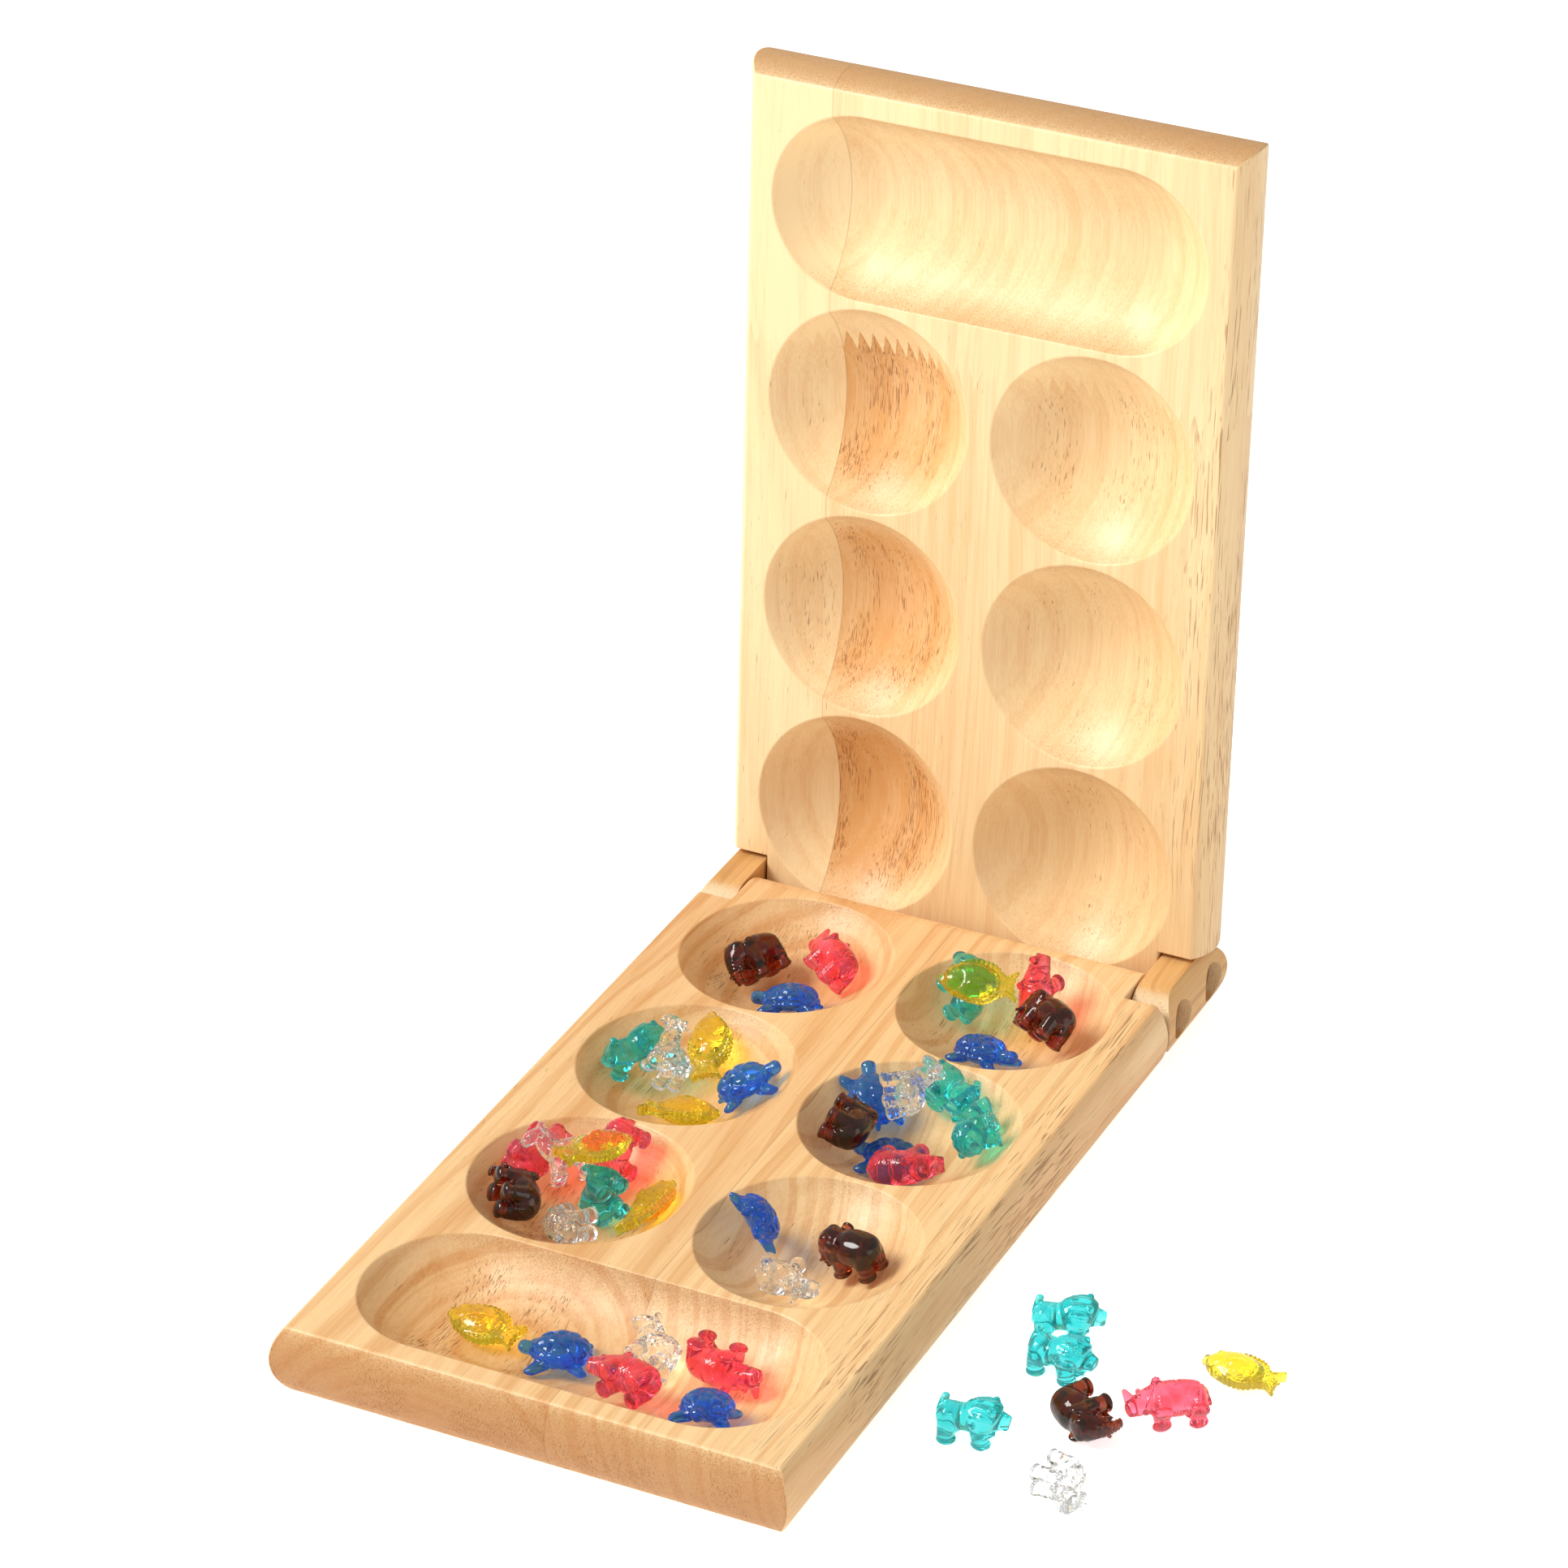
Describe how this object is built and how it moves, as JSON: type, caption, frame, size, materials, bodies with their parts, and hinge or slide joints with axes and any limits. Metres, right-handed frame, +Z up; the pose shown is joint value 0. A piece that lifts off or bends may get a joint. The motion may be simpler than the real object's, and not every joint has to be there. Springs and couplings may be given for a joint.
{
  "type": "folding mancala board",
  "caption": "Wooden mancala board that folds in half on wooden link hinges, with hollowed pits, a store at each end and small clear plastic animals as playing pieces.",
  "frame": {"origin": "centre of the underside of the half that lies down, on the table", "axes": "+Z up, +Y along the board towards the hinge, +X across the board to the right of the player at the store"},
  "size_m": [0.1986, 0.252, 0.2175],
  "materials": {
    "board_wood": "pale rubberwood, satin lacquer, grain along the board",
    "link_wood": "pale rubberwood, satin lacquer, grain along the link",
    "pin_wood": "plain dowel, end grain showing in the shade of its hole",
    "elephant_plastic": "clear tinted plastic, moulded glossy",
    "giraffe_plastic": "clear tinted plastic, moulded glossy",
    "lion_plastic": "clear tinted plastic, moulded glossy",
    "rhino_plastic": "clear tinted plastic, moulded glossy",
    "turtle_plastic": "clear tinted plastic, moulded glossy",
    "fish_plastic": "clear tinted plastic, moulded glossy"
  },
  "bodies": {
    "lower_half": {"lower_board": "board_wood", "near_pin_left": "pin_wood", "near_pin_right": "pin_wood"},
    "links": {"link_left": "link_wood", "link_right": "link_wood"},
    "upper_half": {"upper_board": "board_wood", "far_pin_left": "pin_wood", "far_pin_right": "pin_wood"},
    "pieces_store": {"fish_store_1": "fish_plastic", "turtle_store_1": "turtle_plastic", "rhino_store_1": "rhino_plastic", "giraffe_store_1": "giraffe_plastic", "rhino_store_2": "rhino_plastic", "turtle_store_2": "turtle_plastic"},
    "pieces_front_left": {"lion_front_left_1": "lion_plastic", "elephant_front_left_1": "elephant_plastic", "giraffe_front_left_1": "giraffe_plastic", "fish_front_left_1": "fish_plastic", "rhino_front_left_1": "rhino_plastic", "rhino_front_left_2": "rhino_plastic", "giraffe_front_left_2": "giraffe_plastic", "fish_front_left_2": "fish_plastic"},
    "pieces_front_right": {"elephant_front_right_1": "elephant_plastic", "turtle_front_right_1": "turtle_plastic", "giraffe_front_right_1": "giraffe_plastic"},
    "pieces_middle_left": {"fish_middle_left_1": "fish_plastic", "turtle_middle_left_1": "turtle_plastic", "lion_middle_left_1": "lion_plastic", "fish_middle_left_2": "fish_plastic", "giraffe_middle_left_1": "giraffe_plastic"},
    "pieces_middle_right": {"turtle_middle_right_1": "turtle_plastic", "turtle_middle_right_2": "turtle_plastic", "lion_middle_right_1": "lion_plastic", "lion_middle_right_2": "lion_plastic", "rhino_middle_right_1": "rhino_plastic", "elephant_middle_right_1": "elephant_plastic", "giraffe_middle_right_1": "giraffe_plastic"},
    "pieces_back_left": {"elephant_back_left_1": "elephant_plastic", "rhino_back_left_1": "rhino_plastic", "turtle_back_left_1": "turtle_plastic"},
    "pieces_back_right": {"rhino_back_right_1": "rhino_plastic", "lion_back_right_1": "lion_plastic", "turtle_back_right_1": "turtle_plastic", "fish_back_right_1": "fish_plastic", "elephant_back_right_1": "elephant_plastic"},
    "pieces_loose": {"lion_loose_1": "lion_plastic", "lion_loose_2": "lion_plastic", "lion_loose_3": "lion_plastic", "elephant_loose_1": "elephant_plastic", "giraffe_loose_1": "giraffe_plastic", "rhino_loose_1": "rhino_plastic", "fish_loose_1": "fish_plastic"}
  },
  "joints": [
    {"name": "link_swing", "type": "hinge", "parent": "lower_half", "child": "links", "pos_m": [0, 0.10082, 0.00825], "axis": [-1, 0, 0], "range_deg": [-90, 0]},
    {"name": "board_fold", "type": "hinge", "parent": "links", "child": "upper_half", "pos_m": [0, 0.11883, 0.00825], "axis": [-1, 0, 0], "range_deg": [-4.4, 85.6]},
    {"name": "lift_store", "type": "slide", "parent": "lower_half", "child": "pieces_store", "axis": [0, 0, 1], "range_m": [0, 0.06]},
    {"name": "lift_front_left", "type": "slide", "parent": "lower_half", "child": "pieces_front_left", "axis": [0, 0, 1], "range_m": [0, 0.06]},
    {"name": "lift_front_right", "type": "slide", "parent": "lower_half", "child": "pieces_front_right", "axis": [0, 0, 1], "range_m": [0, 0.06]},
    {"name": "lift_middle_left", "type": "slide", "parent": "lower_half", "child": "pieces_middle_left", "axis": [0, 0, 1], "range_m": [0, 0.06]},
    {"name": "lift_middle_right", "type": "slide", "parent": "lower_half", "child": "pieces_middle_right", "axis": [0, 0, 1], "range_m": [0, 0.06]},
    {"name": "lift_back_left", "type": "slide", "parent": "lower_half", "child": "pieces_back_left", "axis": [0, 0, 1], "range_m": [0, 0.06]},
    {"name": "lift_back_right", "type": "slide", "parent": "lower_half", "child": "pieces_back_right", "axis": [0, 0, 1], "range_m": [0, 0.06]},
    {"name": "lift_loose", "type": "slide", "parent": "lower_half", "child": "pieces_loose", "axis": [0, 0, 1], "range_m": [0, 0.06]}
  ]
}
